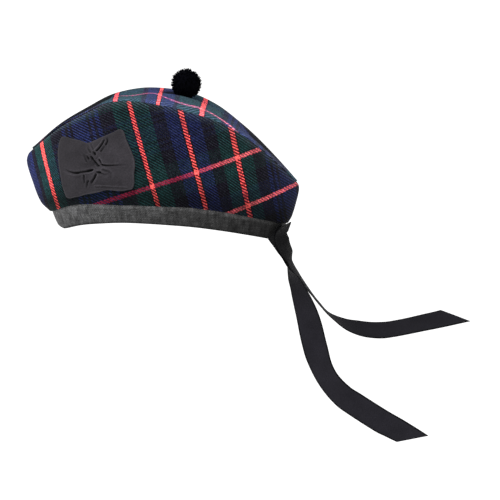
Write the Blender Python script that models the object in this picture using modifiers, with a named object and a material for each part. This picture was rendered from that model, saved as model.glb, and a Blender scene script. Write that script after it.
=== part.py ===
"""A tartan glengarry: two wall panels, a creased top panel, a band, a gathered cockade, a toorie and two tails.

Metres, +Z up. The front of the hat is -X and the wearer's left, where the cockade is, is -Y. The origin is the
middle of the head opening. The tables and the sizes below are in millimetres.
"""

import math
from collections import namedtuple

import bmesh
import bpy
from mathutils import Matrix, Vector

MM = 0.001

# Cloth and clearances
CLOTH = 1.6
BAND_CLOTH = 2.0
RIBBON_CLOTH = 1.0
GAP = 0.3

# The oval of the head opening: half length, half width and how square its ends are
RIM_HALF_LENGTH = 105.5
RIM_HALF_WIDTH = 64.0
OVAL = 2.3
BAND_LAP = 6.0

# The walls: half width at their lower edge and at the seam under the top panel
EDGE_HALF_LENGTH = 113.0
EDGE_MIDDLE = -1.8
EDGE_HALF_WIDTH = 70.0
SEAM_HALF_WIDTH = 46.0
SEAM_TIP = 9.0
SEAM_SKEW = 1.25
SEAM_POINT = 0.9
TURN_IN = 2.4
BULGE = 3.0
TOP_SHOULDER = 0.75
CREASE_REACH = 0.35

# Heights along the hat. t runs from -1 at the front to 1 at the back, and the rest are heights above the
# opening's middle: the rim, the walls' lower edge, the seam, the top panel's dome over it and the crease in it.
Station = namedtuple("Station", "t rim edge seam dome crease")
STATIONS = [
    Station(-1.0, 1.0, 16.3, 75.0, 0.0, 0.0),
    Station(-0.8, 9.0, 26.8, 96.0, 0.0, 2.0),
    Station(-0.6, 12.8, 31.0, 110.5, 0.0, 3.3),
    Station(-0.4, 14.1, 32.8, 122.5, 1.2, 4.5),
    Station(-0.2, 13.6, 32.5, 124.8, 6.0, 5.5),
    Station(0.0, 12.3, 31.0, 122.0, 9.8, 8.8),
    Station(0.2, 10.3, 28.3, 116.0, 11.5, 9.6),
    Station(0.4, 7.0, 23.8, 107.0, 8.0, 7.2),
    Station(0.6, 2.8, 18.8, 91.5, 2.2, 5.0),
    Station(0.8, -2.6, 12.3, 69.0, 1.2, 3.0),
    Station(1.0, -9.5, 6.5, 43.5, 0.0, 0.0),
]

# The walls' outline at the front and back seams, up from their lower edge (0) to the top seam (1)
Level = namedtuple("Level", "up front back")
LEVELS = [
    Level(0.00, -114.8, 111.2),
    Level(0.15, -123.3, 114.4),
    Level(0.50, -131.2, 118.4),
    Level(0.80, -136.2, 121.0),
    Level(0.93, -134.6, 120.8),
    Level(1.00, -130.8, 119.4),
]

# The cockade: where its middle is on the left wall, and how far it stands off
COCKADE_MIDDLE = (-67.0, 68.5)
COCKADE_LIFT = 2.6
COCKADE_PUFF = 4.2
COCKADE_PINCH = 3.4
# Its outline, by angle round the middle from straight back, anticlockwise as seen from the left
Corner = namedtuple("Corner", "degrees reach")
COCKADE_OUTLINE = [
    Corner(0, 36.4),
    Corner(7, 36.2),
    Corner(22, 35.2),
    Corner(38, 36.1),
    Corner(50, 39.3),
    Corner(55, 37.7),
    Corner(60, 32.4),
    Corner(71, 26.2),
    Corner(88, 21.1),
    Corner(111, 19.2),
    Corner(123, 22.7),
    Corner(138, 31.8),
    Corner(148, 40.8),
    Corner(165, 38.0),
    Corner(183, 35.4),
    Corner(203, 35.5),
    Corner(220, 39.1),
    Corner(231, 41.6),
    Corner(239, 36.1),
    Corner(254, 29.0),
    Corner(280, 25.6),
    Corner(298, 26.6),
    Corner(321, 36.9),
    Corner(328, 40.3),
    Corner(347, 36.4),
]
# Its gathers: folds that run out from the pinched middle, each sunk in or raised
Fold = namedtuple("Fold", "degrees width reach depth")
COCKADE_FOLDS = [
    Fold(2, 7, 26, -2.2),
    Fold(58, 9, 28, -2.4),
    Fold(78, 12, 24, 1.6),
    Fold(122, 12, 18, -1.8),
    Fold(190, 7, 36, -2.2),
    Fold(232, 12, 20, -1.6),
    Fold(262, 9, 22, -2.0),
    Fold(308, 11, 18, -1.6),
    Fold(335, 12, 20, 1.4),
]

# The toorie: its ball of yarn and the locks that stand out of it
TOORIE_RADIUS = 13.2
TOORIE_MIDDLE = (14.7, 0.0, 137.1)
TOORIE_LOCKS = 90
LOCK_HEIGHT = 1.9
LOCK_SPREAD = math.radians(8.0)

# The tails: the middle of each ribbon along its way, and its turn about that way. At turn 0 its flat side
# faces the wearer's left.
RIBBON_WIDTH = 23.3
Point = namedtuple("Point", "x y z turn")
LEFT_TAIL = [
    Point(98.3, -37.4, 0.4, -39),
    Point(103.4, -27.5, -9.0, -46),
    Point(107.9, -21.2, -19.3, -64),
    Point(110.0, -18.2, -32.4, -84),
    Point(114.4, -17.8, -46.5, -113),
    Point(121.4, -19.7, -57.4, -131),
    Point(129.1, -20.4, -80.4, -156),
    Point(135.5, -15.5, -108.2, -180),
    Point(141.4, -12.5, -128.9, -158),
    Point(149.7, -13.0, -144.6, -155),
    Point(162.5, -14.0, -158.9, -166),
    Point(175.1, -15.0, -167.8, -178),
    Point(198.1, -17.0, -182.3, -180),
    Point(213.2, -18.0, -190.8, -171),
    Point(229.5, -19.0, -200.1, -158),
]
RIGHT_TAIL = [
    Point(107.7, -34.5, 6.8, -76),
    Point(103.8, -32.7, -2.0, -60),
    Point(107.2, -28.9, -12.5, -60),
    Point(112.2, -23.0, -22.8, -69),
    Point(115.6, -16.7, -33.2, -79),
    Point(122.9, -4.0, -48.2, -81),
    Point(131.9, 3.0, -61.2, -84),
    Point(140.8, 8.0, -73.9, -87),
    Point(151.6, 11.0, -85.2, -84),
    Point(165.4, 13.0, -94.2, -74),
    Point(177.9, 14.0, -98.5, -65),
    Point(189.6, 15.0, -100.7, -61),
    Point(200.9, 15.5, -101.2, -59),
    Point(211.0, 16.0, -100.2, -60),
    Point(230.3, 17.0, -96.6, -59),
    Point(251.5, 18.0, -92.2, -57),
    Point(271.7, 19.0, -87.7, -56),
]
# How far the slanted cut at a tail's end runs on past its last point along each edge
LEFT_TAIL_CUT = (11.0, -11.0)
RIGHT_TAIL_CUT = (12.0, -11.5)

# How finely each piece is made
LONG_STEPS = 34
UP_STEPS = 11
ACROSS_STEPS = 10
TAIL_STEPS = 44
TAIL_ACROSS = 3
COCKADE_RINGS = 9
COCKADE_SPOKES = 48


def smooth(rows, key, column, at):
    """The column's value where the key is `at`, on a smooth curve through the rows."""
    keys = [getattr(row, key) for row in rows]
    values = [getattr(row, column) for row in rows]
    at = min(max(at, keys[0]), keys[-1])
    i = 0
    while i < len(keys) - 2 and at > keys[i + 1]:
        i += 1

    def slope(j):
        lo = max(j - 1, 0)
        hi = min(j + 1, len(keys) - 1)
        return (values[hi] - values[lo]) / (keys[hi] - keys[lo])

    step = keys[i + 1] - keys[i]
    u = (at - keys[i]) / step
    start = (1 + 2 * u) * (1 - u) ** 2 * values[i] + u * (1 - u) ** 2 * step * slope(i)
    end = u * u * (3 - 2 * u) * values[i + 1] + u * u * (u - 1) * step * slope(i + 1)
    return start + end


def mix(a, b, share):
    return a + (b - a) * share


def oval(t):
    """Half width of the oval of half width 1 at t along it."""
    return max(1 - abs(t) ** OVAL, 0.0) ** (1 / OVAL)


def seam_half_width(t):
    """The top panel is narrow at the front and widest a little behind its middle."""
    along = math.pi * ((1 + t) / 2) ** SEAM_SKEW
    return SEAM_HALF_WIDTH * max(math.sin(along), 0.0) ** SEAM_POINT + SEAM_TIP * oval(t)


def wall_point(t, up, side=1):
    """A point of the crown's wall: t from front (-1) to back (1), up from its lower edge (0) to the seam (1)."""
    front = smooth(LEVELS, "up", "front", up)
    back = smooth(LEVELS, "up", "back", up)
    x = mix(front, back, (1 + t) / 2)
    half_width = mix(EDGE_HALF_WIDTH * oval(t), seam_half_width(t), up**TURN_IN)
    half_width += BULGE * math.sin(math.pi * up) * oval(t)
    edge = smooth(STATIONS, "t", "edge", t)
    seam = smooth(STATIONS, "t", "seam", t)
    return Vector((x, side * half_width, mix(edge, seam, up)))


def top_point(t, across):
    """A point of the top panel: across runs from -1 at the left seam to 1 at the right one."""
    x = mix(LEVELS[-1].front, LEVELS[-1].back, (1 + t) / 2)
    dome = smooth(STATIONS, "t", "dome", t) * (1 - across**2) ** TOP_SHOULDER
    crease = smooth(STATIONS, "t", "crease", t) * math.exp(-((across / CREASE_REACH) ** 2))
    seam = smooth(STATIONS, "t", "seam", t) + GAP + CLOTH
    return Vector((x, across * seam_half_width(t), seam + dome - crease))


def lengthwise():
    """Values of t that crowd towards the pointed ends."""
    return [-math.cos(math.pi * i / LONG_STEPS) for i in range(LONG_STEPS + 1)]


def new_mesh(name, points, faces):
    mesh = bpy.data.meshes.new(name)
    mesh.from_pydata([p * MM for p in points], [], faces)
    made = bmesh.new()
    made.from_mesh(mesh)
    bmesh.ops.remove_doubles(made, verts=made.verts, dist=1e-5)
    bmesh.ops.recalc_face_normals(made, faces=made.faces)
    made.to_mesh(mesh)
    made.free()
    mesh.shade_smooth()
    return mesh


def grid_faces(rows, columns, closed=False):
    """Quads between rows of points. Each row wraps round where it is closed."""
    faces = []
    for i in range(rows - 1):
        for j in range(columns if closed else columns - 1):
            k = (j + 1) % columns
            faces.append((i * columns + j, i * columns + k, (i + 1) * columns + k, (i + 1) * columns + j))
    return faces


def material(name, colour, roughness):
    made = bpy.data.materials.new(name)
    made.use_nodes = True
    shader = made.node_tree.nodes["Principled BSDF"]
    shader.inputs["Base Color"].default_value = (*colour, 1.0)
    shader.inputs["Roughness"].default_value = roughness
    shader.inputs["Metallic"].default_value = 0.0
    return made


def add(collection, name, mesh, look):
    made = bpy.data.objects.new(name, mesh)
    mesh.materials.append(look)
    collection.objects.link(made)
    return made


def thicken(made, thickness):
    """Cloth is an open surface, thickened to its inner side."""
    solid = made.modifiers.new("Cloth", "SOLIDIFY")
    solid.thickness = thickness * MM
    solid.offset = -1.0


def outward(mesh, middle):
    """Turns an open surface's faces away from the middle."""
    made = bmesh.new()
    made.from_mesh(mesh)
    away = sum((f.calc_center_median() - middle).dot(f.normal) * f.calc_area() for f in made.faces)
    if away < 0:
        bmesh.ops.reverse_faces(made, faces=made.faces)
    made.to_mesh(mesh)
    made.free()


def half_space(collection, name, side):
    """A cutter box that takes away all on the far side of the seams, and a little more for the gap."""
    made = bmesh.new()
    bmesh.ops.create_cube(made, size=1.0)
    reach = 0.4
    bmesh.ops.scale(made, vec=(reach * 2, reach, reach * 2), verts=made.verts)
    away = -side * (reach / 2 - GAP / 2 * MM)
    bmesh.ops.translate(made, vec=(0, away, 0), verts=made.verts)
    mesh = bpy.data.meshes.new(name)
    made.to_mesh(mesh)
    made.free()
    cutter = bpy.data.objects.new(name, mesh)
    cutter.hide_render = True
    cutter.display_type = "WIRE"
    collection.objects.link(cutter)
    return cutter


def build_wall(collection, cutters, name, side, look):
    """One wall panel: the whole wall round the crown, cut at the front and back seams."""
    ring = lengthwise()
    points = []
    for i in range(UP_STEPS + 1):
        up = i / UP_STEPS
        points += [wall_point(t, up, 1) for t in ring]
        points += [wall_point(t, up, -1) for t in reversed(ring[1:-1])]
    mesh = new_mesh(name, points, grid_faces(UP_STEPS + 1, 2 * LONG_STEPS, closed=True))
    outward(mesh, Vector((0, 0, 60 * MM)))
    made = add(collection, name, mesh, look)
    thicken(made, CLOTH)
    cut = made.modifiers.new("Seams", "BOOLEAN")
    cut.operation = "DIFFERENCE"
    cut.solver = "EXACT"
    cut.object = half_space(cutters, name + "_cutter", side)
    return made


def build_top(collection, look):
    points = []
    for t in lengthwise():
        for j in range(ACROSS_STEPS + 1):
            across = math.sin(math.pi / 2 * (2 * j / ACROSS_STEPS - 1))
            points.append(top_point(t, across))
    mesh = new_mesh("top_panel", points, grid_faces(LONG_STEPS + 1, ACROSS_STEPS + 1))
    outward(mesh, Vector((0, 0, 0)))
    made = add(collection, "top_panel", mesh, look)
    thicken(made, CLOTH)
    return made


def build_band(collection, look):
    """The band flares from the rim to the walls' lower edge, then laps up inside them."""
    inset = CLOTH + 2 * GAP
    ring = lengthwise()
    ring = [(t, 1) for t in ring] + [(t, -1) for t in reversed(ring[1:-1])]
    rows = [(0.0, 0.0), (0.5, 0.0), (1.0, 0.0), (1.0, BAND_LAP)]
    points = []
    for up, lap in rows:
        for t, side in ring:
            x = mix(RIM_HALF_LENGTH * t, EDGE_MIDDLE + (EDGE_HALF_LENGTH - inset) * t, up)
            half_width = mix(RIM_HALF_WIDTH, EDGE_HALF_WIDTH - inset, up) * oval(t)
            z = mix(smooth(STATIONS, "t", "rim", t), smooth(STATIONS, "t", "edge", t), up) + lap
            points.append(Vector((x, side * half_width, z)))
    mesh = new_mesh("band", points, grid_faces(len(rows), len(ring), closed=True))
    outward(mesh, Vector((0, 0, 10 * MM)))
    made = add(collection, "band", mesh, look)
    thicken(made, BAND_CLOTH)
    return made


def on_left_wall(x, z):
    """The point of the left wall at this length and height, and the way that it faces."""
    t, up = x / EDGE_HALF_LENGTH, 0.5
    for _ in range(20):
        edge = smooth(STATIONS, "t", "edge", t)
        seam = smooth(STATIONS, "t", "seam", t)
        up = min(max((z - edge) / (seam - edge), 0.0), 1.0)
        front = smooth(LEVELS, "up", "front", up)
        back = smooth(LEVELS, "up", "back", up)
        t = min(max(2 * (x - front) / (back - front) - 1, -0.995), 0.995)
    step = 0.01
    along = wall_point(t + step, up, -1) - wall_point(t - step, up, -1)
    rise = wall_point(t, min(up + step, 1.0), -1) - wall_point(t, max(up - step, 0.0), -1)
    return wall_point(t, up, -1), along.cross(rise).normalized()


def turn_between(a, b):
    """Degrees from b to a, between -180 and 180."""
    return (a - b + 180) % 360 - 180


def cockade_height(degrees, share, reach):
    """How far the cockade's face stands off the wall, at this share of the way out to its edge."""
    puff = COCKADE_PUFF * math.sin(math.pi * min(share, 1.0) ** 0.8) ** 0.7 if share < 1 else 0.0
    height = COCKADE_LIFT + puff - COCKADE_PINCH * math.exp(-((share * reach / 6.0) ** 2))
    for fold in COCKADE_FOLDS:
        off = turn_between(degrees, fold.degrees) / fold.width
        out = share * reach / fold.reach
        if out < 1:
            height += fold.depth * math.exp(-off * off) * math.sin(math.pi * out**0.7)
    return max(height, CLOTH + GAP)


def build_cockade(collection, look):
    """A square of ribbon, pinched in its middle and gathered towards it, on the left wall."""
    outline = COCKADE_OUTLINE + [Corner(360, COCKADE_OUTLINE[0].reach)]
    face, back = [], []
    for i in range(1, COCKADE_RINGS + 1):
        share = i / COCKADE_RINGS
        for j in range(COCKADE_SPOKES):
            degrees = 360 * j / COCKADE_SPOKES
            reach = smooth(outline, "degrees", "reach", degrees)
            x = COCKADE_MIDDLE[0] + share * reach * math.cos(math.radians(degrees))
            z = COCKADE_MIDDLE[1] + share * reach * math.sin(math.radians(degrees))
            spot, facing = on_left_wall(x, z)
            face.append(spot + facing * cockade_height(degrees, share, reach))
            if i == COCKADE_RINGS:
                back.append(spot + facing * 2 * GAP)
    spot, facing = on_left_wall(*COCKADE_MIDDLE)
    count = len(face)
    inner_back = []
    for i in range(COCKADE_RINGS - 1, 0, -2):
        share = i / COCKADE_RINGS
        for j in range(COCKADE_SPOKES):
            degrees = 360 * j / COCKADE_SPOKES
            reach = smooth(outline, "degrees", "reach", degrees)
            x = COCKADE_MIDDLE[0] + share * reach * math.cos(math.radians(degrees))
            z = COCKADE_MIDDLE[1] + share * reach * math.sin(math.radians(degrees))
            at, way = on_left_wall(x, z)
            inner_back.append(at + way * 2 * GAP)
    points = face + back + inner_back
    rings = len(points) // COCKADE_SPOKES
    faces = grid_faces(rings, COCKADE_SPOKES, closed=True)
    points.append(spot + facing * cockade_height(0, 0, 1))
    points.append(spot + facing * 2 * GAP)
    last = count + len(back) + len(inner_back) - COCKADE_SPOKES
    for j in range(COCKADE_SPOKES):
        k = (j + 1) % COCKADE_SPOKES
        faces.append((len(points) - 2, k, j))
        faces.append((len(points) - 1, last + j, last + k))
    mesh = new_mesh("cockade", points, faces)
    return add(collection, "cockade", mesh, look)


def lock_directions():
    """Directions spread evenly over a ball."""
    golden = math.pi * (3 - math.sqrt(5))
    for i in range(TOORIE_LOCKS):
        z = 1 - 2 * (i + 0.5) / TOORIE_LOCKS
        flat = math.sqrt(1 - z * z)
        yield Vector((flat * math.cos(golden * i), flat * math.sin(golden * i), z))


def build_toorie(collection, look):
    """A ball of cut yarn, its locks raised from one round head."""
    made = bmesh.new()
    bmesh.ops.create_icosphere(made, subdivisions=4, radius=1.0)
    locks = list(lock_directions())
    for vert in made.verts:
        way = vert.co.normalized()
        nearest = max(way.dot(lock) for lock in locks)
        off = math.acos(min(nearest, 1.0)) / LOCK_SPREAD
        vert.co = way * (TOORIE_RADIUS + LOCK_HEIGHT * math.exp(-off * off)) * MM
    mesh = bpy.data.meshes.new("toorie")
    made.to_mesh(mesh)
    made.free()
    mesh.shade_smooth()
    ball = add(collection, "toorie", mesh, look)
    ball.location = Vector(TOORIE_MIDDLE) * MM
    thin = ball.modifiers.new("Thin", "DECIMATE")
    thin.ratio = 0.5
    return ball


def ribbon_point(rows, s, across, cut):
    """A point of a tail's middle surface. s is the place among its rows, across from -1 to 1."""
    keyed = [(i, row) for i, row in enumerate(rows)]
    Keyed = namedtuple("Keyed", "s x y z turn")
    table = [Keyed(i, *row) for i, row in keyed]

    def middle(at):
        return Vector([smooth(table, "s", axis, at) for axis in "xyz"])

    last = len(rows) - 1
    step = 0.05
    along = (middle(min(s + step, last)) - middle(max(s - step, 0))).normalized()
    upright = along.cross(Vector((0, 1, 0))).normalized()
    turn = Matrix.Rotation(math.radians(smooth(table, "s", "turn", s)), 3, along)
    width_way = turn @ upright
    shift = mix(cut[0], cut[1], (1 + across) / 2) * max(s / last - 0.8, 0.0) / 0.2
    return middle(s) + width_way * across * RIBBON_WIDTH / 2 + along * shift


def build_tail(collection, name, rows, cut, look):
    """A ribbon tail, a strip of cloth along its way."""
    points = []
    for i in range(TAIL_STEPS + 1):
        s = (len(rows) - 1) * i / TAIL_STEPS
        for j in range(TAIL_ACROSS + 1):
            points.append(ribbon_point(rows, s, 2 * j / TAIL_ACROSS - 1, cut))
    mesh = new_mesh(name, points, grid_faces(TAIL_STEPS + 1, TAIL_ACROSS + 1))
    made = add(collection, name, mesh, look)
    solid = made.modifiers.new("Cloth", "SOLIDIFY")
    solid.thickness = RIBBON_CLOTH * MM
    solid.offset = 0.0
    return made


def main():
    for old in list(bpy.data.objects):
        bpy.data.objects.remove(old)
    hat = bpy.data.collections.new("glengarry")
    cutters = bpy.data.collections.new("cutters")
    bpy.context.scene.collection.children.link(hat)
    bpy.context.scene.collection.children.link(cutters)

    build_wall(hat, cutters, "side_left", -1, material("side_left_tartan", (0.03, 0.05, 0.09), 0.9))
    build_wall(hat, cutters, "side_right", 1, material("side_right_tartan", (0.03, 0.05, 0.09), 0.9))
    build_top(hat, material("top_tartan", (0.04, 0.07, 0.1), 0.9))
    build_band(hat, material("band_cloth", (0.07, 0.07, 0.07), 0.85))
    build_cockade(hat, material("cockade_ribbon", (0.05, 0.047, 0.053), 0.8))
    build_toorie(hat, material("toorie_yarn", (0.004, 0.004, 0.006), 0.95))
    left_ribbon = material("tail_left_ribbon", (0.012, 0.012, 0.014), 0.6)
    right_ribbon = material("tail_right_ribbon", (0.012, 0.012, 0.014), 0.6)
    build_tail(hat, "tail_left", LEFT_TAIL, LEFT_TAIL_CUT, left_ribbon)
    build_tail(hat, "tail_right", RIGHT_TAIL, RIGHT_TAIL_CUT, right_ribbon)


main()
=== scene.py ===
"""Looks of the tartan glengarry: woven cloth, band, gathered cockade, yarn toorie and ribbon tails."""

import math
import random
from collections import namedtuple

import bmesh
import bpy
from mathutils import Matrix, Vector, noise


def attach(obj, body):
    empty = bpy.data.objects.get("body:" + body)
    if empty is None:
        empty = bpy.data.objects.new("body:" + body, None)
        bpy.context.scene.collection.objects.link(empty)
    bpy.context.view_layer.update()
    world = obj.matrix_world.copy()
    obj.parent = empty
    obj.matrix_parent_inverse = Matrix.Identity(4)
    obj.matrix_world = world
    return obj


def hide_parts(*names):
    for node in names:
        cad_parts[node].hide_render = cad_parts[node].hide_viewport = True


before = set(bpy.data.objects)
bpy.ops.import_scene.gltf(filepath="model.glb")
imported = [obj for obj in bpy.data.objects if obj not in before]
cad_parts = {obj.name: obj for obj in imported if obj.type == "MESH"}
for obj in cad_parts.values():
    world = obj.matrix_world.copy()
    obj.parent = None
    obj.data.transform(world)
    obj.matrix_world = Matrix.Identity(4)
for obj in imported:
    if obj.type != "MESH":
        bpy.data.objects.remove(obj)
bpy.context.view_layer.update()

MM = 0.001


def table(columns, *rows):
    """Rows of values under named columns."""
    Row = namedtuple("Row", columns)
    return [Row(*row) for row in rows]


# The view: where the camera looks, from how far, and how many millimetres a pixel of the photo covers there
TARGET = (74.6, 0.0, -21.0)
DISTANCE = 2400.0
ELEVATION = math.radians(8.5)
MM_PER_PIXEL = 0.95
FRAME_PIXELS = 500
SENSOR = 36.0

# Thicknesses of the cloth of the walls, the top panel and the band, and the gap between pieces
CLOTH = 1.6
TOP_CLOTH = 1.0
BAND_CLOTH = 2.0
GAP = 0.3

# The oval of the head opening
RIM_HALF_LENGTH = 105.5
RIM_HALF_WIDTH = 64.0
OVAL = 2.3

# The band: its height, how far it laps up inside the walls, how far it bulges and how far its rim rolls in
BAND_HEIGHT = 18.0
BAND_LAP = 6.0
BAND_PUFF = 0.5
RIM_ROLL = 0.7
RIM_ROLL_UP = 0.05
# The rim's front corner is lifted so far, up to a share of the band's height, and close to the tip only
RIM_LIFT = 2.4
RIM_LIFT_UP = 0.3
RIM_LIFT_REACH = 0.03
# The rows of the band, as shares of its height, and of its lap, in millimetres
BAND_ROWS = (0.0, 0.02, 0.06, 0.12, 0.25, 0.4, 0.55, 0.7, 0.85, 0.95)
LAP_ROWS = (0.5, 2.0, BAND_LAP)
MEASURED_ROW = 4

# The walls: the half length and middle of their lower edge, their half widths there and at the seam to the
# top panel, how the seam narrows to its tips, and how the walls turn in and bulge
EDGE_HALF_LENGTH = 113.0
EDGE_MIDDLE = -1.8
EDGE_HALF_WIDTH = 70.0
SEAM_HALF_WIDTH = 46.0
SEAM_TIP = 9.0
SEAM_SKEW = 1.25
SEAM_POINT = 0.9
TURN_IN = 2.4
BULGE = 3.0
# The top panel: how round its dome is, and how wide the crease in it
TOP_SHOULDER = 0.75
CREASE_REACH = 0.35
# Both stop this far short of the tips, where a surface would face nowhere
TIP = 1 - 1e-7
# Small unevenness of the cloth: its length and its height
WALL_WAVE = (26, 0.5)
TOP_WAVE = (30, 0.5)
WAVE_STEPS = 12
CROWN_MIDDLE = (0.0, 0.0, 60.0)
BAND_MIDDLE = (0.0, 0.0, 10.0)

# Heights along the hat, from the front (-1) to the back (1)
STATIONS = table(
    "t rim edge seam dome crease",
    (-1.0, 1.0, 17.6, 75.0, 0.0, 0.0),
    (-0.8, 8.5, 27.6, 96.0, 0.0, 2.0),
    (-0.6, 11.8, 30.6, 110.5, 0.0, 3.3),
    (-0.4, 13.2, 30.5, 122.5, 1.2, 4.5),
    (-0.2, 12.7, 30.3, 124.8, 6.0, 5.5),
    (0.0, 11.4, 29.5, 122.0, 9.8, 8.8),
    (0.2, 9.6, 28.4, 116.0, 11.5, 9.6),
    (0.4, 6.6, 25.1, 107.0, 8.0, 7.2),
    (0.6, 2.6, 20.3, 91.5, 2.2, 5.0),
    (0.8, -2.6, 13.9, 69.0, 1.2, 3.0),
    (1.0, -9.5, 6.5, 43.5, 0.0, 0.0),
)

# The walls' outline at the front and back seams, up from their lower edge (0) to the top seam (1)
LEVELS = table(
    "up front back",
    (0.00, -114.8, 111.2),
    (0.15, -123.3, 114.4),
    (0.50, -131.2, 118.4),
    (0.80, -136.2, 121.0),
    (0.93, -134.6, 120.8),
    (1.00, -130.8, 119.4),
)

# The weave. Threads are counted across the pattern, and it mirrors at its two pivots, 0 and HALF_SETT.
# Dark edge threads border the red lines. A rim thread is red in the warp and black in the weft.
HALF_SETT = 149
SETT = table(
    "first colour",
    (0, "blue"), (12, "black"), (16, "blue"), (20, "black"), (24, "blue"), (30, "black"),
    (50, "green"), (70, "edge"), (72, "red"), (78, "rim"), (79, "edge"), (80, "green"),
    (102, "black"), (123, "blue"), (144, "edge"), (145, "rim"), (146, "red"),
)
# The stripes' colours, on the crests of the twill's bars, in the weft and in the grooves between bars, where
# the groove colour is painted shade, and which of them are red in the warp
SOLID_RED = (0.84, 0.100, 0.090)
DYES = table(
    "name crest weft groove red",
    ("blue", (0.0090, 0.0118, 0.0610), (0.0050, 0.0068, 0.0260), (0.0010, 0.0012, 0.0066), (0, 0, 0)),
    ("black", (0.0048, 0.0018, 0.0074), (0.0022, 0.0012, 0.0034), (0.0009, 0.0006, 0.0015), (0, 0, 0)),
    ("green", (0.0050, 0.0278, 0.0278), (0.0036, 0.0150, 0.0125), (0.0007, 0.0034, 0.0034), (0, 0, 0)),
    ("red", SOLID_RED, (0.20, 0.010, 0.030), (0.13, 0.000, 0.004), (1, 1, 1)),
    ("rim", (0.84, 0.118, 0.105), (0.0028, 0.0020, 0.0044), (0.17, 0.001, 0.006), (1, 1, 1)),
    ("edge", (0.0030, 0.0018, 0.0040), (0.0028, 0.0020, 0.0044), (0.0006, 0.0004, 0.0009), (0, 0, 0)),
)
# The twill: how much of a bar is warp, how many of its threads each thread counts for, after how many it
# repeats, how sharply a bar rounds off into the painted shade of its grooves and how high it stands, how much
# of that painted shade lies between bars, and how much of the crest's colour is left where bars blur
WARP_SHARE = 0.62
TWILL_ACROSS = 0.80
TWILL_ALONG = 0.80
TWILL_REPEAT = 4
BAR_POWER = 1.5
BAR_RELIEF = 0.6
GROOVE_BETWEEN = 0.42
CREST_BLURRED = 0.58
# The red stripe's middle thread, and how far the crests cover a red line of the weft, and it a red warp
RED_MIDDLE = 75.5
CRESTS_OVER_LINE = 0.80
LINE_OVER_RED = 0.75
# Specks of painted highlight at a fold, and raised fibres between the bars
FOLD_HIGHLIGHT_SPECKS = 0.30
FLAT_SPECKS = 0.25
# The two tartans: how light, how strong the painted highlight at a fold is and how hazed with fibres
# elsewhere, the haze's colour, the weft's red line at the front and back of the hat, its half width in
# threads, and the blur at a fold
Tartan = namedtuple("Tartan", "lift haze_fold haze_flat haze_colour line_front line_back line_half soft")
WALL_TARTAN = Tartan(
    1.0, 0.60, 0.13, (0.15, 0.20, 0.24), (0.20, 0.010, 0.034), (0.56, 0.085, 0.100), 3.0, 0.0
)
# The top panel's greater lift and haze are painted light of its upward-facing side
TOP_TARTAN = Tartan(
    2.6, 0.85, 0.60, (0.17, 0.22, 0.37), (0.23, 0.064, 0.130), (0.38, 0.092, 0.118), 1.7, 0.65
)

# Where a value starts and ends to change, and what it is at both
Ramp = namedtuple("Ramp", "start end low high")
FRONT_BLUR = Ramp(-0.104, -0.120, 0.0, 0.75)
LINE_BACKWARD = Ramp(0.010, 0.070, 0.0, 1.0)
TAIL_BELOW_TOP = Ramp(30.0, 95.0, 0.0, 1.0)
TAIL_CORD_LIGHT = Ramp(-1.0, 1.0, 0.84, 1.10)
# On the band: painted light towards its front and its top, and a painted highlight along its upper lip
BAND_PAINTED_LIGHT = Ramp(-0.10, 0.10, 1.0, 0.0)
BAND_TWILL_LIGHT = Ramp(-1.0, 1.0, 0.84, 1.12)
BAND_RIM_LIGHT = Ramp(0.0, 2.2, 0.12, 1.0)
BAND_PAINTED_TOP_LIGHT = Ramp(4.0, 13.0, 0.88, 1.12)
BAND_LIP = (13.6, 16.6)
BAND_LIP_HIGHLIGHT = Ramp(0.0, 1.0, 3.0, 1.35)
COCKADE_CORD_LIGHT = Ramp(-1.0, 1.0, 0.95, 1.04)
COCKADE_RISE_LIGHT = Ramp(-34.0, 34.0, 0.90, 1.14)
# On the cockade: a painted highlight on its ridges and painted shade in its creases
COCKADE_RIDGE_HIGHLIGHT = Ramp(0.0, 1.0, 1.0, 1.75)
COCKADE_CREASE_SHADE = Ramp(0.20, 0.85, 0.0, 0.95)

# Unevenness: noise per metre, its detail and roughness, the value from its low parts to its high ones, which
# parts these are, and how it is stretched
Uneven = namedtuple(
    "Uneven", "scale detail roughness low high start end stretch", defaults=(0.3, 0.7, None)
)
THREAD_WANDER = Uneven(420, 2, 0.5, -0.55, 0.55)
TARTAN_FIBRE = Uneven(2100, 2, 0.6, 0.30, 2.05)
TARTAN_CLUMP = Uneven(780, 1, 0.5, 0.45, 1.60, 0.34, 0.66)
TARTAN_MOTTLE = Uneven(110, 3, 0.5, 0.74, 1.26)
TARTAN_SPECK = Uneven(1300, 3, 0.7, 0.0, 1, 0.46, 0.66)
CORD_WANDER = Uneven(300, 2, 0.5, -0.08, 0.08)
TAIL_FIBRE = Uneven(1600, 3, 0.6, 0.70, 1.30)
TAIL_PATCH = Uneven(60, 3, 0.5, 0.86, 1.14)
BAND_FIBRE = Uneven(1100, 3, 0.7, 0.25, 1.80)
BAND_SMUDGE = Uneven(120, 3, 0.6, 0.50, 1.50, stretch=(2.4, 2.4, 0.5))
BAND_STREAK = Uneven(230, 2, 0.6, 0.72, 1.28, stretch=(0.4, 0.4, 3.0))
YARN_FIBRE = Uneven(1500, 3, 0.5, 0.60, 1.40)
COCKADE_FIBRE = Uneven(900, 3, 0.6, 0.72, 1.28)
COCKADE_PATCH = Uneven(70, 3, 0.5, 0.80, 1.20)

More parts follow.
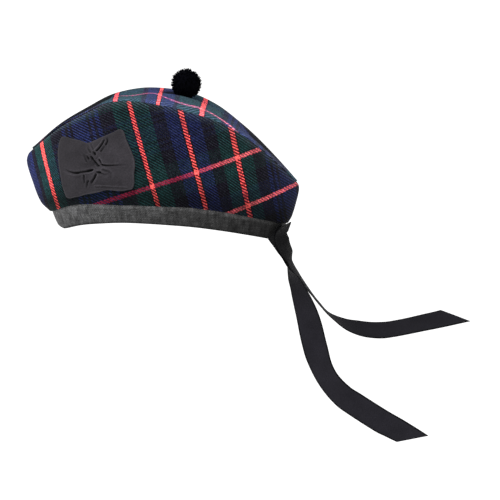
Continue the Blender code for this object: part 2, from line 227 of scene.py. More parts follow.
# How each cloth takes light, its fuzz per metre with detail and height, and how strong and deep its relief is
Finish = namedtuple("Finish", "roughness sheen sheen_roughness gloss fuzz detail height strength depth")
TARTAN_FINISH = Finish(0.95, 0.025, 0.5, 0.05, 1500, 2, 0.5, 0.6, 0.0004)
TAIL_FINISH = Finish(0.90, 0.030, 0.4, 0.10, 1300, 2, 0.5, 0.5, 0.00022)
BAND_FINISH = Finish(0.95, 0.050, 0.5, 0.08, 1200, 3, 0.9, 0.5, 0.0004)
COCKADE_FINISH = Finish(0.92, 0.040, 0.5, 0.10, 1200, 2, 0.5, 0.35, 0.0002)
YARN_FINISH = Finish(0.95, 0.000, 0.5, 0.03, 900, 3, 1, 0.6, 0.0004)

# Colours of the dark pieces, how far in a tail's dark edge goes, and cords: their pitch and their height
TAIL_TOP_COLOUR = (0.0014, 0.0014, 0.0021)
TAIL_EDGE_COLOUR = (0.0025, 0.0025, 0.0034)
TAIL_EDGE_FROM = (1.7, 0.9)
TAIL_CORD = 1.1
TAIL_CORD_RELIEF = 0.5
TAIL_THREAD = 0.42
TAIL_THREAD_RELIEF = 0.15
# The band's colour at its back and front; the lighter front is painted light
BAND_BACK_COLOUR = (0.0155, 0.0153, 0.0153)
BAND_FRONT_COLOUR = (0.074, 0.074, 0.075)
BAND_PAINTED_LIGHT_POWER = 1.6
BAND_TWILL = 2.1
BAND_TWILL_RELIEF = 0.3
COCKADE_COLOUR = (0.0252, 0.0230, 0.0268)
# The painted shade in the cockade's creases
CREASE_SHADE_COLOUR = (0.0020, 0.0020, 0.0026)
COCKADE_CORD = 0.9
COCKADE_CORD_RELIEF = 0.4
# The cosine and sine of the tilt of its cords
COCKADE_GRAIN = (0.994, 0.105)
TOORIE_COLOUR = (0.0012, 0.0012, 0.0024)

# Which thread lies where on a wall: along it, at the height where the stripes were measured
MEASURED_HEIGHT = 62.3
WARP_PLACES = table(
    "x thread",
    (-140, -143), (-128.1, -123), (-125, -102), (-118.2, -79), (-114, -71), (-106.3, -50),
    (-75, 0), (-24.6, 71), (-20.1, 79), (-5.3, 102), (7.4, 123), (19.5, 145), (25.2, 153),
    (37.6, 175), (49, 196), (61.1, 219), (66.5, 227), (77.8, 248), (89.2, 268), (125, 330),
)
# How far the warp leans towards the front for each millimetre up
WARP_LEANS = table(
    "x lean",
    (-130, 0.275), (-75, 0.280), (-22, 0.285), (22, 0.262), (64, 0.215), (120, 0.170),
)
# The height of the weft's red line along the wall, its thread, and the size of a thread
WEFT_LINE = table(
    "x height",
    (-140, -1), (-67, 22), (-24.6, 35.3), (24.9, 51), (83.4, 73.8), (125, 94),
)
WEFT_LINE_THREAD = 73.8
WEFT_THREAD = 0.655
# The same on the top panel, where threads lean back as they rise. The red line along it lies so far from its
# middle on the left, and on the right it is straight, and closer at both ends.
TOP_PLACES = table(
    "x thread",
    (-131, -66), (-55, 71), (-50.6, 79), (-28, 100), (-23.7, 123), (-14, 144.5),
    (-9.5, 153.5), (2.9, 175), (6, 198), (27.4, 219), (32, 227), (48, 248), (52, 268),
    (71, 298), (122, 364),
)
TOP_LEAN = 0.20
TOP_LINE = table(
    "x y",
    (-131, 8), (-58, 8), (-52, 14), (-47, 23), (-40, 33.6), (-30.6, 36.2),
    (-17.6, 31.5), (-12.3, 34), (-4.3, 42.6), (3.4, 47.5), (14.2, 50), (29.4, 47.5),
    (45, 47.4), (58.2, 46.8), (90, 46), (106, 38), (122, 38),
)
RIGHT_LINE = 47.0
RIGHT_LINE_AT_ENDS = 38.0
FRONT_END = (85.0, 112.0)
BACK_END = (88.0, 104.0)
TOP_WEFT_THREAD = 0.62
# Right of this line the panel lies in shade
TOP_SHADE = table(
    "x y",
    (-131, -3), (-62, 0), (-52, 22), (-45, 60), (60, 60), (66, 20),
    (74, 7), (82, 1), (92, 3), (104, 8), (122, 10),
)
TOP_SHADE_MOST = 0.93
TOP_SHADE_RAMP = (0.0, 1.5)
# So it does round the toorie, and towards its front, but on its border further on
TOORIE_SHADE_MIDDLE = (3.0, 4.0)
TOORIE_SHADE_REACH = 17.0
TOORIE_SHADE_RAMP = (0.0, 5.0)
FRONT_SHADE_MOST = 0.75
FRONT_SHADE = (58.0, 70.0)
FRONT_BORDER_SHADE = (84.0, 94.0)

# The cockade on the left wall: its middle, how far it stands off, how it puffs up, its waves, which fade
# at its edge, and its pinch
COCKADE_MIDDLE = (-67.0, 68.5)
COCKADE_LIFT = 2.2
COCKADE_PUFF = 4.0
PUFF_SKEW = 0.75
PUFF_ROUND = 0.6
COCKADE_WAVE = (11, 0.7)
COCKADE_WAVE_PLACE = 3.1
WAVE_FADE = 3
PINCH_MIDDLE = (2.2, -1.4)
PINCH_DEPTH = 2.4
PINCH_REACH = 5.0
# Rings of its back, as shares of its outline, the height that they lie at, and the least one of its face
BACK_RINGS = (1.0, 0.97, 0.6, 0.2)
BACK_HEIGHT = 2 * GAP
LEAST_HEIGHT = CLOTH / 2 + GAP
COCKADE_OUTLINE = table(
    "degrees reach",
    (0, 36.4), (7, 36.2), (22, 35.2), (38, 36.1), (50, 39.3), (55, 37.7), (60, 32.4), (71, 26.2),
    (88, 21.1), (111, 19.2), (122, 22.4), (137, 30.0), (145, 37.6), (150, 38.4), (165, 36.6),
    (183, 34.6), (203, 35.3), (220, 39.1), (231, 41.6), (239, 36.1), (254, 29.0), (280, 25.6),
    (298, 26.6), (321, 36.9), (328, 40.3), (347, 36.4), (360, 36.4),
)
# Its creases: points from its middle, how deep and wide each is, the ridge beside it, and how soon it fades
COCKADE_CREASES = table(
    "points depth width ridge fade",
    ([(-1.6, -5.7), (-5.1, -6.9), (-9.6, -7.8), (-14.1, -9), (-18, -9.3)], 2.6, 0.72, 1.2, 0.3),
    ([(-14.1, -9), (-18, -9.3), (-22.5, -8.6), (-25.9, -7.5), (-29.9, -5.9)], 2.6, 0.75, 1, 0.8),
    ([(-3.2, -6.3), (-5.6, -6.9)], 2, 1.15, 0, 0),
    ([(7.4, -0.9), (11.3, -1.4), (15.3, -1.2), (22.6, -0.6), (31.6, -0.2)], 2.6, 0.65, 0.9, 0.8),
    ([(-1.7, 4.8), (0.2, 1.6), (2.6, -1.8), (4.6, -1.2)], 2.8, 0.70, 0.9, 0.1),
    ([(4.8, 3.2), (5.9, 1), (6.6, -0.6), (8, -1)], 2.6, 0.70, 0.8, 0.1),
    ([(0.6, 9.1), (1, 8)], 2.6, 1.05, 0.5, 0),
    ([(-1.9, 5.3), (-1.4, 4.2)], 2.6, 1.05, 0.5, 0),
    ([(-5.6, 5.2), (-4.9, 3.9)], 2, 0.80, 0.6, 0),
    ([(2.8, 10.9), (5.2, 13.6), (7.5, 17), (9.2, 21)], 2.4, 0.62, 1.4, 0.15),
    ([(10.9, 16.6), (12.2, 19.8), (11.2, 22.4)], 2.2, 0.60, 0.7, 0.2),
    ([(6.6, 10.6), (8.4, 13), (10.9, 16.6)], 1.4, 0.60, 0.5, 0.3),
    ([(3, -7.5), (5.4, -7.6)], 2.4, 0.95, 0.5, 0),
    ([(5.4, -7.6), (9.8, -9.6), (14.4, -8.4)], 1.1, 0.90, 0.5, 0.4),
    ([(7.9, -5.3), (13, -6.4), (15.3, -8.2), (15.3, -12.9)], 1.2, 0.90, 0.6, 0.5),
    ([(1.8, -9.6), (0.6, -12.2), (-1.4, -15.2), (-2.7, -17.4)], 3, 0.80, 1, 0.2),
    ([(-5.2, -15.4), (-6.2, -17.2), (-7.2, -21.6)], 2, 0.65, 0.7, 0.3),
    ([(-9, -10.9), (-9, -14), (-8.6, -17.4)], 1.9, 0.60, 0.7, 0.2),
    ([(-3, 9.2), (-5.4, 12.2), (-6, 15.4)], 1.3, 0.60, 0.6, 0.5),
    ([(-0.4, 12), (-2.6, 15), (-3.2, 18.6)], 1, 0.55, 0.6, 0.5),
    ([(-6.8, 1.4), (-8.4, 5.8), (-10.6, 8.6)], 1.2, 0.60, 0.5, 0.5),
    ([(1, -20.4), (9, -20.2), (17, -20.6), (30, -21.2)], 0.6, 0.50, 0.9, 0.2),
)
# A crease's ridge: how far off and how wide, in widths of the crease, how high and how bright its painted
# highlight is on the other side, and how far from a crease it is left out. A crease so deep gets full painted
# shade.
RIDGE_OFF = 2.2
RIDGE_WIDTH = 1.2
OTHER_RIDGE = 0.35
OTHER_SHINE = 0.4
CREASE_REACHES = 9.0
DEEP_CREASE = 2.2
# A painted highlight along the ribbon's edge: how far in from it, how wide and how much
SELVEDGE_IN = 0.9
SELVEDGE_WIDTH = 0.6
SELVEDGE_SHINE = 0.7
# A small rolled fold runs across the pinch, with a painted highlight on it, and lifts the painted crease
# shade under it
ROLL_MIDDLE = (4.6, 0.6)
ROLL_HALF_LENGTH = 4.2
ROLL_HALF_WIDTH = 1.0
ROLL_DIRECTION = math.radians(-50.0)
ROLL_HEIGHT = 2.2
ROLL_SHINE = 0.8
ROLL_OVER_SHADE = 0.9

# The toorie: a core, and tufts of strands that differ by these ranges
TOORIE_MIDDLE = (14.7, 0.0, 137.1)
TOORIE_CORE = 12.9
TOORIE_CORE_DETAIL = 4
TOORIE_CORE_WAVE = (6, 0.5)
TOORIE_TIP = 14.2
TOORIE_TUFTS = 330
TOORIE_SEED = 11
TUFT_JITTER = 0.09
TUFT_REACH = (-0.5, 0.75)
STRANDS_PER_TUFT = 7
STRAND_DEPTH = 2.5
ROOT_SPREAD = 0.9
TIP_SPREAD = 0.055
STRAND_REACH = (-0.5, 0.3)
STRAND_BEND = 0.5
STRAND_HALF = (0.28, 0.42)
STRAND_SIDES = 4
# How thick a strand is along its length
STRAND_STAGES = table("share size", (0.0, 1.0), (0.5, 0.95), (0.85, 0.75), (1.0, 0.3))

# The tails
RIBBON_WIDTH = 23.3
RIBBON_CLOTH = 0.8
TAIL_WAVE = (26, 0.35)
TAIL_WAVE_ACROSS = 0.6
TAIL_STEP = 0.05
CUT_FROM = 0.8
LEFT_TAIL = table(
    "x y z turn",
    (98.8, -39.4, 0.4, -47), (103.9, -29.6, -9, -54), (108.2, -21.6, -19.3, -69),
    (110.6, -18.2, -32.4, -90), (115.9, -17.8, -46, -118), (121, -19.7, -58.4, -132),
    (128.9, -20.4, -80.4, -156), (135.5, -15.5, -108.2, -180), (141.4, -12.5, -128.9, -158),
    (149.7, -13, -144.6, -155), (162.5, -14, -158.9, -166), (175.1, -15, -167.8, -178),
    (198.1, -17, -182.3, -180), (213.2, -18, -190.8, -171), (229.5, -19, -200.1, -158),
)
RIGHT_TAIL = table(
    "x y z turn",
    (109.6, -34.9, 9, -76), (103.8, -32.7, -2, -60), (107.2, -28.9, -12.5, -60),
    (112, -23, -22.8, -72), (115.2, -16.7, -33.6, -84), (123.6, -4, -49, -88),
    (132.2, 3, -61.9, -91), (141.2, 8, -74.2, -92), (151.2, 11, -85.6, -91),
    (165.4, 13, -94.4, -76), (177.9, 14, -98.5, -65), (189.6, 15, -100.7, -61),
    (200.9, 15.5, -101.2, -59), (211, 16, -100.2, -60), (230.3, 17, -96.6, -59),
    (251.5, 18, -92.2, -57), (271.7, 19, -87.7, -56),
)
# How far the two edges of a tail run on past its last point, and start off its first one
TAILS = table(
    "name rows cut start colour",
    ("tail_left", LEFT_TAIL, (11, -11), (-8, 0), (0.0128, 0.0120, 0.0160)),
    ("tail_right", RIGHT_TAIL, (12, -11.5), (0, 0), (0.0088, 0.0084, 0.0112)),
)

# The fold's painted highlight shows this far below the seam
FOLD_REACH = 9.0
# The walls carry painted shade, dark up to the first height over their lower edge, and less and less up to
# the second
DARK_FULL = 8.0
DARK_FROM = 30.0
DARK_FRONT = 0.50
DARK_BACK = 0.66
DARK_BACKWARD = (-60.0, 80.0)
# Above that they carry painted light at the front, and more again at its tip
LIGHT_FRONT = 0.45
LIGHT_FRONT_OVER = (45.0, 75.0)
LIGHT_TIP = 0.45
LIGHT_TIP_OVER = (98.0, 114.0)
# The panel's border folds down over the gap to the walls: how far down and out, and how far down it turns.
# Its drop fades at the tips, and towards the border the panel counts more and more as a fold.
FOLD_DROPS = table(
    "x drop",
    (-131, 1.9), (-122, 1.5), (-108, 0.8), (-84, 0.7), (-62, 0.9), (-48, 1.7),
    (-40, 1.8), (-19.5, 2.6), (-8, 2.7), (8.7, 2.4), (28.6, 3.8), (57.6, 2.2), (72, 1.6),
    (84, 0.8), (120, 1),
)
FOLD_OUT = 0.4
FOLD_TURN = 1.2
FOLD_FADE = 6
FOLD_POWER = 5
FOLD_STEPS = (0.25, 0.5, 0.75, 1.0)

# The floor and the light
FLOOR_SIZE = 30.0
FLOOR_HEIGHT = -0.6
FLOOR_COLOUR = (0.86, 0.86, 0.86)
FLOOR_ROUGHNESS = 0.9
FLOOR_GLOW = 0.12
WHITE = (1.0, 1.0, 1.0, 1.0)
ROOM_LIGHT = 0.55
KEY_LIGHT = 3.0
KEY_ANGLE = math.radians(50.0)
KEY_WAY = (0.42, 0.75, -1.0)

# How often a place is searched for, how near the tip, and how far apart points show the way a wall faces
LEAN_ROUNDS = 3
WALL_ROUNDS = 12
NEAR_TIP = 0.995
STEP = 0.01

# How finely each piece is made
LONG_STEPS = 150
UP_STEPS = 46
ACROSS_STEPS = 60
BAND_STEPS = 300
COCKADE_RINGS = 70
COCKADE_SPOKES = 360
TAIL_STEPS = 300
TAIL_ACROSS = 20


# Curves and small helpers


def smooth(rows, column, at):
    """The column's value where the first column is `at`, on a smooth curve through the rows."""
    keys = [row[0] for row in rows]
    values = [getattr(row, column) for row in rows]
    at = min(max(at, keys[0]), keys[-1])
    i = 0
    while i < len(keys) - 2 and at > keys[i + 1]:
        i += 1

    def slope(j):
        lo = max(j - 1, 0)
        hi = min(j + 1, len(keys) - 1)
        return (values[hi] - values[lo]) / (keys[hi] - keys[lo])

    step = keys[i + 1] - keys[i]
    u = (at - keys[i]) / step
    start = (1 + 2 * u) * (1 - u) ** 2 * values[i] + u * (1 - u) ** 2 * step * slope(i)
    end = u * u * (3 - 2 * u) * values[i + 1] + u * u * (u - 1) * step * slope(i + 1)
    return start + end


def straight(rows, column, at):
    """The column's value where the first column is `at`, on straight lines through the rows."""
    for lo, hi in zip(rows, rows[1:]):
        if at <= hi[0] or hi is rows[-1]:
            return mix(getattr(lo, column), getattr(hi, column), (at - lo[0]) / (hi[0] - lo[0]))


def mix(a, b, share):
    return a + (b - a) * share


def share_of(value, low, high):
    """0 below low, 1 above high, and in between along a straight line."""
    return min(max((value - low) / (high - low), 0.0), 1.0)


def bell(value, width):
    """1 at 0, falling towards 0 on both sides."""
    return math.exp(-((value / width) ** 2))


def oval(t):
    """Half width of the oval of half width 1 at t along it."""
    return max(1 - abs(t) ** OVAL, 0.0) ** (1 / OVAL)


def seam_half_width(t):
    along = math.pi * ((1 + t) / 2) ** SEAM_SKEW
    return SEAM_HALF_WIDTH * max(math.sin(along), 0.0) ** SEAM_POINT + SEAM_TIP * oval(t)


def wall_point(t, up, side):
    """A point of a wall: t from front (-1) to back (1), up from its lower edge (0) to the seam (1)."""
    front = smooth(LEVELS, "front", up)
    back = smooth(LEVELS, "back", up)
    x = mix(front, back, (1 + t) / 2)
    half_width = mix(EDGE_HALF_WIDTH * oval(t), seam_half_width(t), up**TURN_IN)
    half_width += BULGE * math.sin(math.pi * up) * oval(t)
    edge = smooth(STATIONS, "edge", t)
    seam = smooth(STATIONS, "seam", t)
    return Vector((x, side * half_width, mix(edge, seam, up)))


def top_point(t, across):
    """A point of the top panel: across runs from -1 at the left seam to 1 at the right one."""
    x = mix(LEVELS[-1].front, LEVELS[-1].back, (1 + t) / 2)
    dome = smooth(STATIONS, "dome", t) * (1 - across**2) ** TOP_SHOULDER
    crease = smooth(STATIONS, "crease", t) * bell(across, CREASE_REACH)
    seam = smooth(STATIONS, "seam", t) + GAP + CLOTH
    return Vector((x, across * seam_half_width(t), seam + dome - crease))


def lengthwise(steps):
    """Values from -1 to 1 that crowd towards both ends."""
    return [-math.cos(math.pi * i / steps) for i in range(steps + 1)]


def normals(rows, wraps=False):
    """The way that each point of a grid of points faces, by its neighbours."""
    wide = len(rows[0])
    made = []
    for i, row in enumerate(rows):
        down, up = rows[max(i - 1, 0)], rows[min(i + 1, len(rows) - 1)]
        line = []
        for j in range(wide):
            left, right = max(j - 1, 0), min(j + 1, wide - 1)
            if wraps:
                left, right = (j - 1) % (wide - 1), (j + 1) % (wide - 1)
            line.append((row[right] - row[left]).cross(up[j] - down[j]).normalized())
        made.append(line)
    return made


def shell(name, rows, thickness, maps, away=None, wraps=False):
    """A closed sheet of cloth: an outer grid of points, and an inner one the thickness below it.

    maps holds named pairs of numbers for each point. away is a point that the outer side faces away from.
    Where the grid wraps, its last column is its first one again, with map values of its own.
    """
    facing = normals(rows, wraps)
    if away is not None:
        score = sum((p - away).dot(n) for row, line in zip(rows, facing) for p, n in zip(row, line))
        if score < 0:
            facing = [[-n for n in line] for line in facing]
    inner = [[p - n * thickness for p, n in zip(row, line)] for row, line in zip(rows, facing)]
    last, wide = len(rows) - 1, len(rows[0])
    columns = wide - 1 if wraps else wide
    made = bmesh.new()
    sides = []
    for points in (rows, inner):
        sides.append([[made.verts.new(p * MM) for p in row[:columns]] for row in points])
    layers = {key: made.loops.layers.uv.new(key) for key in maps}

    def face(corners):
        new = made.faces.new([sides[side][i][j % columns] for side, i, j in corners])
        for key, layer in layers.items():
            for loop, (_, i, j) in zip(new.loops, corners):
                loop[layer].uv = maps[key][i][j]

    for i in range(last):
        for j in range(wide - 1):
            square = [(i, j), (i, j + 1), (i + 1, j + 1), (i + 1, j)]
            face([(0, *corner) for corner in square])
            face([(1, *corner) for corner in reversed(square)])
    border = [((0, j), (0, j + 1)) for j in range(wide - 1)]
    border += [((last, j + 1), (last, j)) for j in range(wide - 1)]
    if not wraps:
        border += [((i, wide - 1), (i + 1, wide - 1)) for i in range(last)]
        border += [((i + 1, 0), (i, 0)) for i in range(last)]
    for a, b in border:
        face([(0, *a), (1, *a), (1, *b), (0, *b)])
    bmesh.ops.remove_doubles(made, verts=made.verts, dist=1e-6)
    bmesh.ops.dissolve_degenerate(made, edges=made.edges, dist=1e-7)
    bmesh.ops.recalc_face_normals(made, faces=made.faces)
    return mesh_of(name, made)


def mesh_of(name, made):
    mesh = bpy.data.meshes.new(name)
    made.to_mesh(mesh)
    made.free()
    mesh.shade_smooth()
    return mesh


def link(thing):
    bpy.context.scene.collection.objects.link(thing)


def add(name, mesh, look, node):
    """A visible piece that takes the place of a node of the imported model."""
    piece = bpy.data.objects.new(name, mesh)
    mesh.materials.append(look)
    link(piece)
    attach(piece, "root")
    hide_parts(node)
    return piece


# Materials


class Nodes:
    """Short ways to add nodes to a material."""

    def __init__(self, name):
        self.material = bpy.data.materials.new(name)
        self.material.use_nodes = True
        self.tree = self.material.node_tree
        self.shader = self.tree.nodes["Principled BSDF"]
        self.feed(self.shader, {"Metallic": 0.0})

    def feed(self, node, inputs):
        """Sets the node's inputs, or links them where the value comes from another node."""
        for key, value in inputs.items():
            socket = node.inputs[key]
            if isinstance(value, bpy.types.NodeSocket):
                self.tree.links.new(value, socket)
            elif isinstance(value, tuple) and len(value) < len(socket.default_value):
                socket.default_value = (*value, 1.0)
            else:
                socket.default_value = value

    def new(self, kind, inputs, **settings):
        made = self.tree.nodes.new("ShaderNode" + kind)
        for key, value in settings.items():
            setattr(made, key, value)
        self.feed(made, inputs)
        return made.outputs

    def math(self, operation, *values):
        return self.new("Math", dict(enumerate(values)), operation=operation)[0]

    def times(self, product, *others):
        for other in others:
            product = self.math("MULTIPLY", product, other)
        return product

    def total(self, first, *others):
        """The sum of values, each times its weight."""
        whole = self.times(*first)
        for other in others:
            whole = self.math("ADD", whole, self.times(*other))
        return whole

    def rest(self, value):
        """What the value leaves of 1."""
        return self.math("SUBTRACT", 1.0, value)

    def waves(self, value, pitch):
        """A wave between -1 and 1 along the value."""
        return self.math("SINE", self.times(value, 2 * math.pi / pitch))

    def blend(self, share, a, b):
        # A mix of colours has them at sockets 6 and 7, and its result at 2
        return self.new("Mix", {0: share, 6: a, 7: b}, data_type="RGBA")[2]

    def toned(self, colour, light):
        """The colour, so many times as light."""
        return self.new("VectorMath", {0: colour, "Scale": light}, operation="SCALE")[0]

    def parts(self, vector):
        return self.new("SeparateXYZ", {0: vector})

    def uv(self, name):
        return self.parts(self.new("UVMap", {}, uv_map=name)[0])[:2]

    def place(self):
        return self.new("TexCoord", {})["Object"]

    def length(self):
        """How far along the hat a point is, in metres."""
        return self.parts(self.place())[0]

    def noise(self, scale, detail, roughness=0.5, stretch=None):
        place = self.place()
        if stretch:
            place = self.new("Mapping", {0: place, "Scale": stretch})[0]
        inputs = {"Vector": place, "Scale": scale, "Detail": detail, "Roughness": roughness}
        return self.new("TexNoise", inputs)[0]

    def span(self, value, start, end, low, high):
        return self.new("MapRange", dict(enumerate((value, start, end, low, high))))[0]

    def uneven(self, kind):
        grain = self.noise(kind.scale, kind.detail, kind.roughness, kind.stretch)
        return self.span(grain, kind.start, kind.end, kind.low, kind.high)

    def sett(self, share, part):
        """The pattern's colours for this part of the cloth, where a thread is so far between its pivots."""
        made = self.tree.nodes.new("ShaderNodeValToRGB")
        made.color_ramp.interpolation = "CONSTANT"
        elements = made.color_ramp.elements
        dyes = {dye.name: dye for dye in DYES}
        while len(elements) < len(SETT):
            elements.new(1.0)
        for element, stripe in zip(elements, SETT):
            element.position = stripe.first / HALF_SETT
            element.color = (*getattr(dyes[stripe.colour], part), 1.0)
        self.feed(made, {0: share})
        return made.outputs[0]

    def surface(self, colour, roughness, sheen=0.0, sheen_roughness=0.5, gloss=0.0):
        self.feed(self.shader, {"Base Color": colour, "Roughness": roughness, "Sheen Weight": sheen})
        self.feed(self.shader, {"Sheen Roughness": sheen_roughness, "Specular IOR Level": gloss})

    def cloth(self, colour, kind, *threads):
        """The look of a cloth of this finish. threads are what stands up from it, each with its height."""
        height = self.total(*threads, (self.noise(kind.fuzz, kind.detail), kind.height))
        relief = {"Strength": kind.strength, "Distance": kind.depth, "Height": height}
        self.feed(self.shader, {"Normal": self.new("Bump", relief)[0]})
        self.surface(colour, kind.roughness, kind.sheen, kind.sheen_roughness, kind.gloss)
        return self.material


def sett_share(n, thread):
    """Where a thread is in the pattern, from its one pivot (0) to the other (1)."""
    return n.math("DIVIDE", n.math("PINGPONG", n.math("ADD", thread, 0.5), HALF_SETT), HALF_SETT)


def tartan(name, kind):
    """Twill-woven tartan. The map called threads gives the warp and weft thread at each point.

    The map called fold gives how far a point is in a fold of the cloth, and the painted shade there, or below
    0 the painted light.
    """
    n = Nodes(name)
    across, along = n.uv("threads")
    fold, painted_shade = n.uv("fold")
    length = n.length()
    shift = n.uneven(THREAD_WANDER)
    warp_at = n.math("ADD", across, shift)
    weft_at = n.math("ADD", along, shift)
    warp = sett_share(n, n.math("FLOOR", warp_at))
    weft = sett_share(n, n.math("FLOOR", weft_at))

    run = n.math("SUBTRACT", n.times(warp_at, TWILL_ACROSS), n.times(weft_at, TWILL_ALONG))
    step = n.math("FRACT", n.times(run, 1 / TWILL_REPEAT))
    over = n.math("LESS_THAN", step, WARP_SHARE)
    # The round of a bar: 1 along its middle and 0 at its sides, where the grooves' painted shade takes over
    bar = n.math("SINE", n.times(n.math("DIVIDE", step, WARP_SHARE), math.pi))
    bar = n.times(n.math("MAXIMUM", bar, 0.0), over)
    grooves = n.sett(warp, "groove")
    crests = n.sett(warp, "crest")
    between = n.blend(GROOVE_BETWEEN, n.sett(weft, "weft"), grooves)
    bars = n.blend(n.math("POWER", bar, BAR_POWER), grooves, crests)
    woven = n.blend(over, between, bars)
    blur = n.math("MAXIMUM", n.times(fold, kind.soft), n.span(length, *FRONT_BLUR))
    woven = n.blend(blur, woven, n.blend(CREST_BLURRED, grooves, crests))

    # A red line of the weft covers nearly all but the crests, and where it crosses a red warp it is solid
    line = n.blend(n.span(length, *LINE_BACKWARD), kind.line_front, kind.line_back)
    crossing = n.sett(warp, "red")
    line = n.blend(crossing, line, SOLID_RED)
    count = n.times(weft, HALF_SETT)
    lines = [n.math("COMPARE", count, middle, kind.line_half) for middle in (RED_MIDDLE, HALF_SETT)]
    on_line = n.math("MAXIMUM", *lines)
    covering = n.times(n.rest(n.times(bar, CRESTS_OVER_LINE)), on_line)
    covering = n.math("MAXIMUM", covering, n.times(crossing, on_line, LINE_OVER_RED))
    woven = n.blend(covering, woven, line)

    # Single bars differ a little and take the painted shade and light; raised fibres lighten some of them,
    # and specks of painted highlight lighten the fold
    light = n.times(n.uneven(TARTAN_FIBRE), n.uneven(TARTAN_CLUMP), n.uneven(TARTAN_MOTTLE))
    toned = n.toned(woven, n.times(light, n.times(n.rest(painted_shade), kind.lift)))
    speck = n.math("MAXIMUM", n.uneven(TARTAN_SPECK), n.times(fold, FOLD_HIGHLIGHT_SPECKS))
    fibre_haze_and_highlight = n.span(fold, 0.0, 1.0, kind.haze_flat, kind.haze_fold)
    fibre_haze_and_highlight = n.times(speck, n.math("ADD", bar, FLAT_SPECKS), fibre_haze_and_highlight, n.rest(painted_shade))
    return n.cloth(n.blend(fibre_haze_and_highlight, toned, kind.haze_colour), TARTAN_FINISH, (bar, BAR_RELIEF))


def ribbed(name, colour):
    """Corded ribbon, darker at its top and edges. The map called weave gives millimetres."""
    n = Nodes(name)
    along, across = n.uv("weave")
    cord = n.waves(n.math("ADD", along, n.uneven(CORD_WANDER)), TAIL_CORD)
    light = n.times(n.uneven(TAIL_FIBRE), n.uneven(TAIL_PATCH), n.span(cord, *TAIL_CORD_LIGHT))
    colour = n.blend(n.span(along, *TAIL_BELOW_TOP), TAIL_TOP_COLOUR, colour)
    inner, outer = [RIBBON_WIDTH / 2 - inward for inward in TAIL_EDGE_FROM]
    edge = n.span(n.math("ABSOLUTE", across), inner, outer, 0.0, 1.0)
    colour = n.blend(edge, n.toned(colour, light), TAIL_EDGE_COLOUR)
    threads = n.waves(across, TAIL_THREAD)
    return n.cloth(colour, TAIL_FINISH, (cord, TAIL_CORD_RELIEF), (threads, TAIL_THREAD_RELIEF))


def band_material():
    """Woolly twill tape with painted light towards the front, a dark rim, painted light towards its top and a
    painted highlight on its upper edge.
    """
    n = Nodes("band_look")
    along, up = n.uv("weave")
    painted_front_light = n.math("POWER", n.span(n.length(), *BAND_PAINTED_LIGHT), BAND_PAINTED_LIGHT_POWER)
    twill = n.waves(n.math("ADD", along, up), BAND_TWILL)
    smudge = n.times(n.uneven(BAND_SMUDGE), n.uneven(BAND_STREAK))
    light = n.times(n.uneven(BAND_FIBRE), smudge, n.span(twill, *BAND_TWILL_LIGHT))
    # A painted highlight along the upper lip, strongest at the front, and painted light towards the top
    lip_highlight = n.span(up, *BAND_LIP, 1.0, n.span(painted_front_light, *BAND_LIP_HIGHLIGHT))
    light = n.times(light, n.span(up, *BAND_RIM_LIGHT), n.span(up, *BAND_PAINTED_TOP_LIGHT), lip_highlight)
    colour = n.toned(n.blend(painted_front_light, BAND_BACK_COLOUR, BAND_FRONT_COLOUR), light)
    return n.cloth(colour, BAND_FINISH, (twill, BAND_TWILL_RELIEF))


def cockade_material():
    """Fine corded ribbon, with painted shade in its creases and a painted highlight along its ridges."""
    n = Nodes("cockade_ribbon_look")
    along, _ = n.uv("weave")
    crease, ridge = n.uv("marks")
    cord = n.waves(along, COCKADE_CORD)
    light = n.times(n.uneven(COCKADE_FIBRE), n.uneven(COCKADE_PATCH), n.span(cord, *COCKADE_CORD_LIGHT))
    light = n.times(light, n.span(along, *COCKADE_RISE_LIGHT), n.span(ridge, *COCKADE_RIDGE_HIGHLIGHT))
    toned = n.toned(COCKADE_COLOUR, light)
    colour = n.blend(n.span(crease, *COCKADE_CREASE_SHADE), toned, CREASE_SHADE_COLOUR)
    return n.cloth(colour, COCKADE_FINISH, (cord, COCKADE_CORD_RELIEF))


def yarn_material():
    n = Nodes("toorie_look")
    return n.cloth(n.toned(TOORIE_COLOUR, n.uneven(YARN_FIBRE)), YARN_FINISH)


# The crown


def threads_on_wall(p):
    """The warp and weft thread at a point of a wall."""
    height = p.z * math.cos(ELEVATION) - abs(p.y) * math.sin(ELEVATION)
    x = p.x
    # The lean depends on where the thread crosses the measured height, so that is found in rounds
    for _ in range(LEAN_ROUNDS):
        lean = smooth(WARP_LEANS, "lean", x)
        x = p.x + lean * (height - MEASURED_HEIGHT)
    above = height - smooth(WEFT_LINE, "height", p.x)
    return straight(WARP_PLACES, "thread", x), WEFT_LINE_THREAD - above / WEFT_THREAD


def threads_on_top(p, rise, beyond):
    """The threads at a point of the top panel, which is seen to rise so far above its left border.

    beyond is how far down the fold past the border the point is.
    """
    seen = TARGET[0] + (p.x - TARGET[0]) * DISTANCE / (DISTANCE + p.y)
    warp = straight(TOP_PLACES, "thread", seen - TOP_LEAN * rise)
    ends = max(share_of(-p.x, *FRONT_END), share_of(p.x, *BACK_END))
    line = smooth(TOP_LINE, "y", p.x) if p.y < 0 else mix(RIGHT_LINE, RIGHT_LINE_AT_ENDS, ends)
    return warp, RED_MIDDLE + (line - abs(p.y) - beyond) / TOP_WEFT_THREAD


def top_painted_shade(p, border):
    """The painted shade of the top panel at a point of it, which may be of its border."""
    far = share_of(p.y - straight(TOP_SHADE, "y", p.x), *TOP_SHADE_RAMP)
    front = share_of(-p.x, *(FRONT_BORDER_SHADE if border else FRONT_SHADE))
    beside = share_of(TOORIE_SHADE_REACH - math.dist(p.xy, TOORIE_SHADE_MIDDLE), *TOORIE_SHADE_RAMP)
    return max(TOP_SHADE_MOST * far, FRONT_SHADE_MOST * front, TOP_SHADE_MOST * beside)


